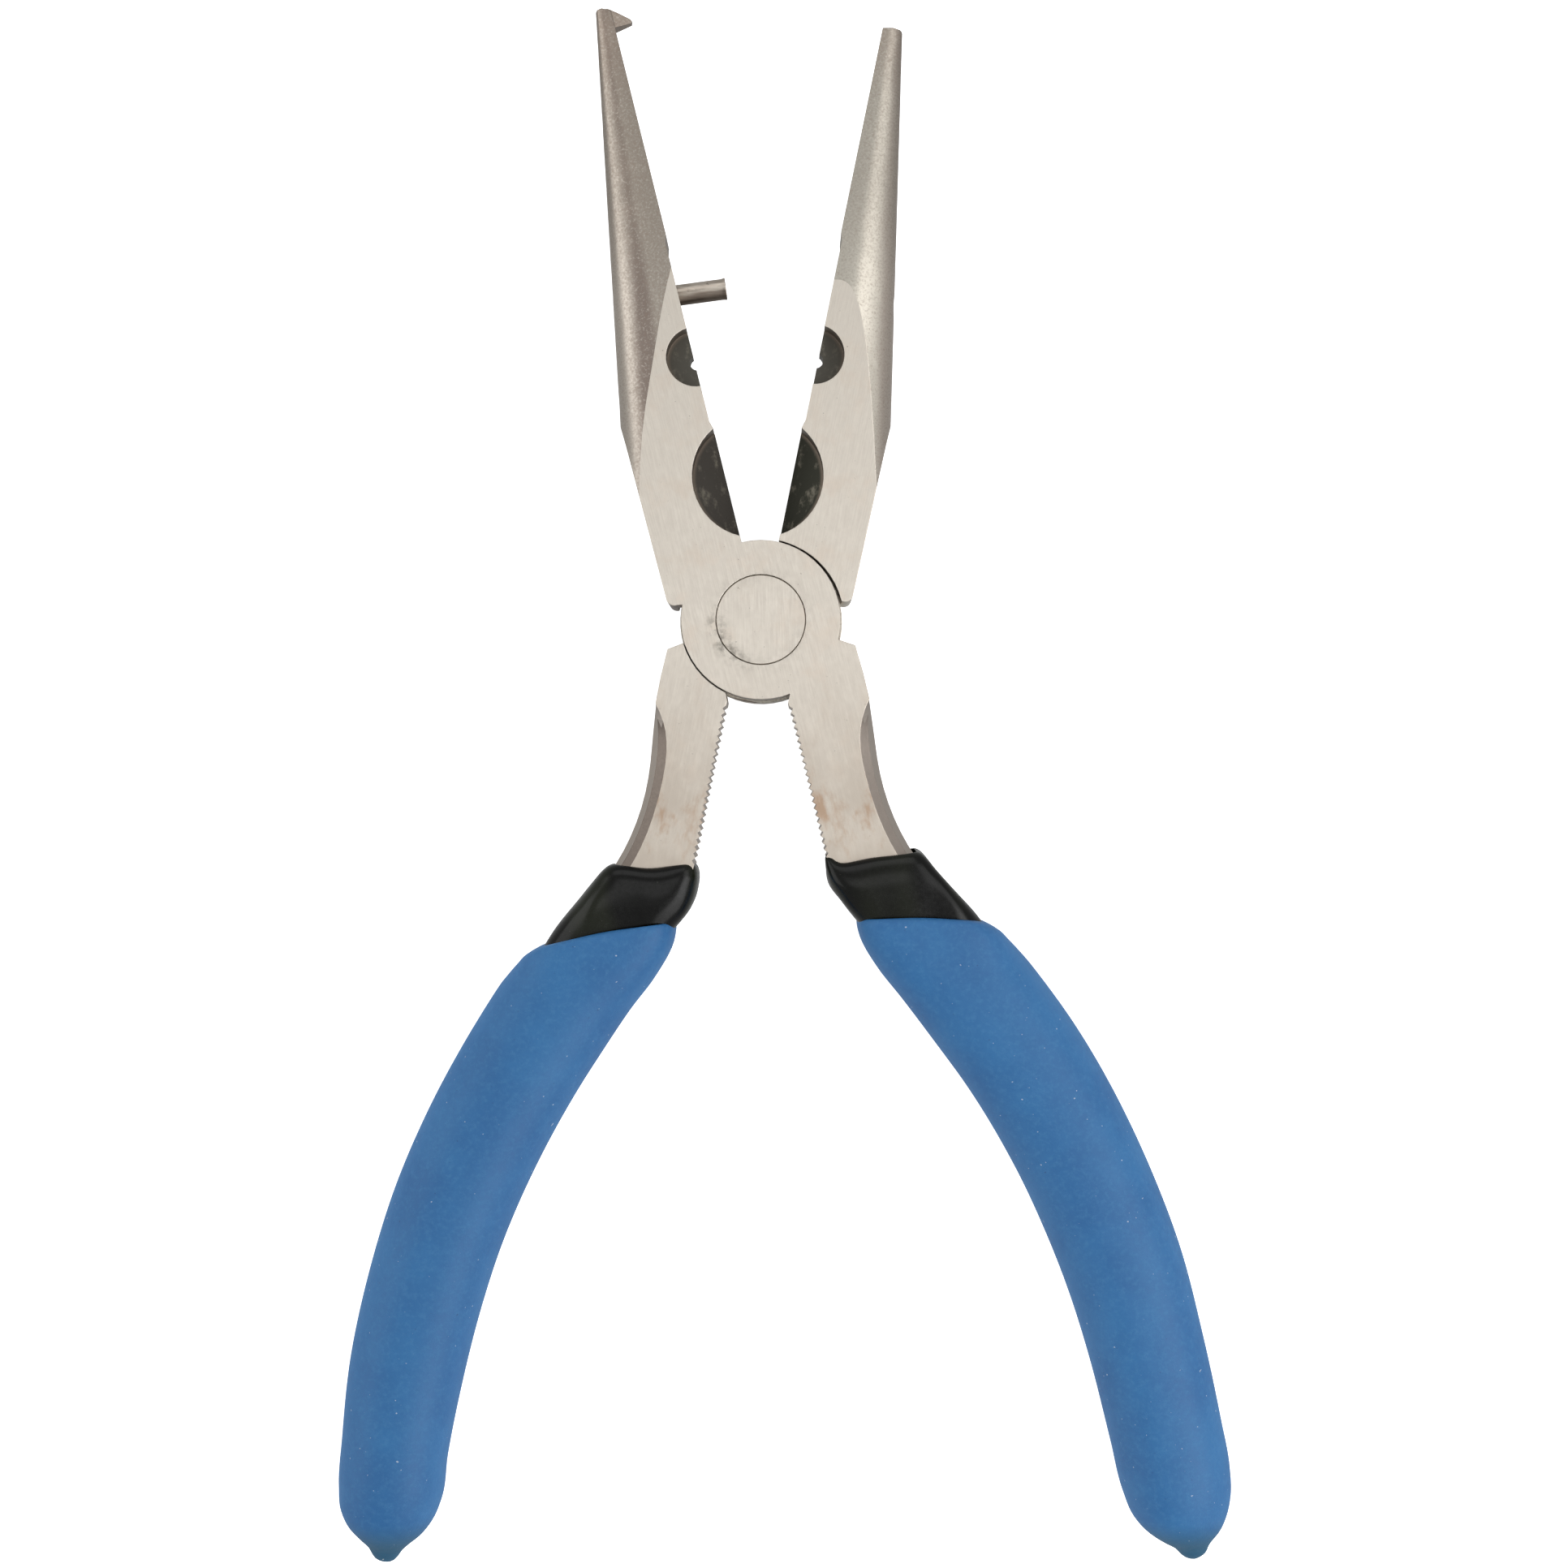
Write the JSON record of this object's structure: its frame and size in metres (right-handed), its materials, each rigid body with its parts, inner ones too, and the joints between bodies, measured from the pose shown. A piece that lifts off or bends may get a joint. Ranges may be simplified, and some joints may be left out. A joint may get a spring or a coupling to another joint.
{
  "type": "split-ring fishing pliers",
  "caption": "Long-nose fishing pliers with a split-ring tooth, a side cutter, a crimper and dipped grips, hinged on a flush rivet.",
  "frame": {"origin": "on the pivot axis, in the back face of the joint", "axes": "+Z along the pivot axis out of the front face; +Y along the closed jaws to their tips; +X to the side of the plain jaw"},
  "size_m": [0.0898, 0.1571, 0.012],
  "materials": {
    "lever_steel": "ground cheeks, satin noses, dark recesses",
    "rivet_steel": "ground flush",
    "pin_steel": "drawn wire, lightly browned",
    "sleeve_vinyl": "glossy dipped vinyl",
    "grip_vinyl": "satin dipped vinyl"
  },
  "bodies": {
    "tooth_half": {"tooth_lever": "lever_steel", "pivot_rivet": "rivet_steel", "jaw_pin": "pin_steel", "right_inner_sleeve": "sleeve_vinyl", "right_grip": "grip_vinyl"},
    "socket_half": {"socket_lever": "lever_steel", "left_inner_sleeve": "sleeve_vinyl", "left_grip": "grip_vinyl"}
  },
  "joints": [
    {"name": "pivot", "type": "hinge", "parent": "tooth_half", "child": "socket_half", "pos_m": [0, 0, 0.0045], "axis": [0, 0, 1], "range_deg": [-24, 25.2]}
  ]
}
